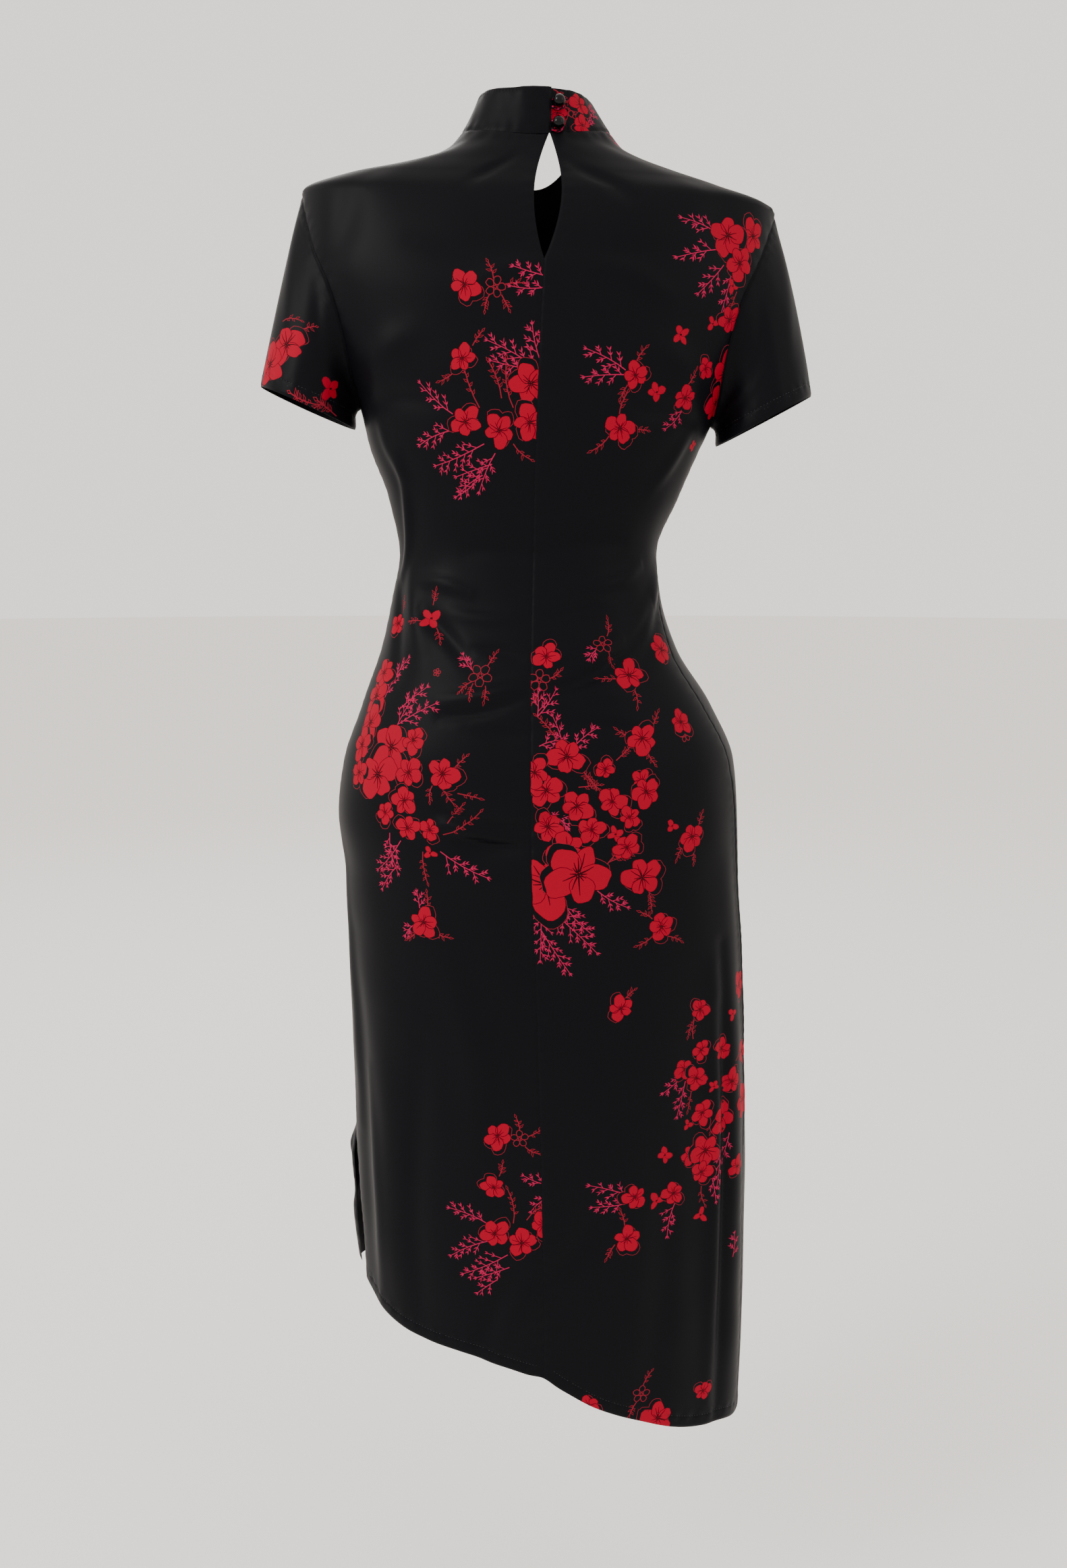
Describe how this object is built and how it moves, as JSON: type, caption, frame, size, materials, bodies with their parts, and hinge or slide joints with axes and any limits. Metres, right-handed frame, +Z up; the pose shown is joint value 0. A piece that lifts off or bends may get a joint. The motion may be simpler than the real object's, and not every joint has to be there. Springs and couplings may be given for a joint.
{
  "type": "cheongsam dress",
  "caption": "Fitted knee-length cheongsam-style dress with stand collar, keyhole back, short set-in sleeves, side slit and slanting hem, filled out as if worn.",
  "frame": {"origin": "centre of the neck, level with the base of the collar at the sides, where the wearer holds the dress up", "axes": "+Z up along the dress, +Y out of the wearer's back, +X to the wearer's left"},
  "size_m": [0.4869, 0.2576, 1.2137],
  "materials": {
    "cloth": "smooth matt-satin black crepe printed with red five-petal flowers and rose sprigs",
    "button": "polished black ball",
    "loop": "thin turned cord of the same printed crepe"
  },
  "bodies": {
    "root": {"back_left": "cloth", "back_right": "cloth", "front": "cloth", "sleeve_left": "cloth", "sleeve_right": "cloth", "collar": "cloth", "button_upper": "button", "button_lower": "button", "loop_upper": "loop", "loop_lower": "loop"}
  },
  "joints": []
}
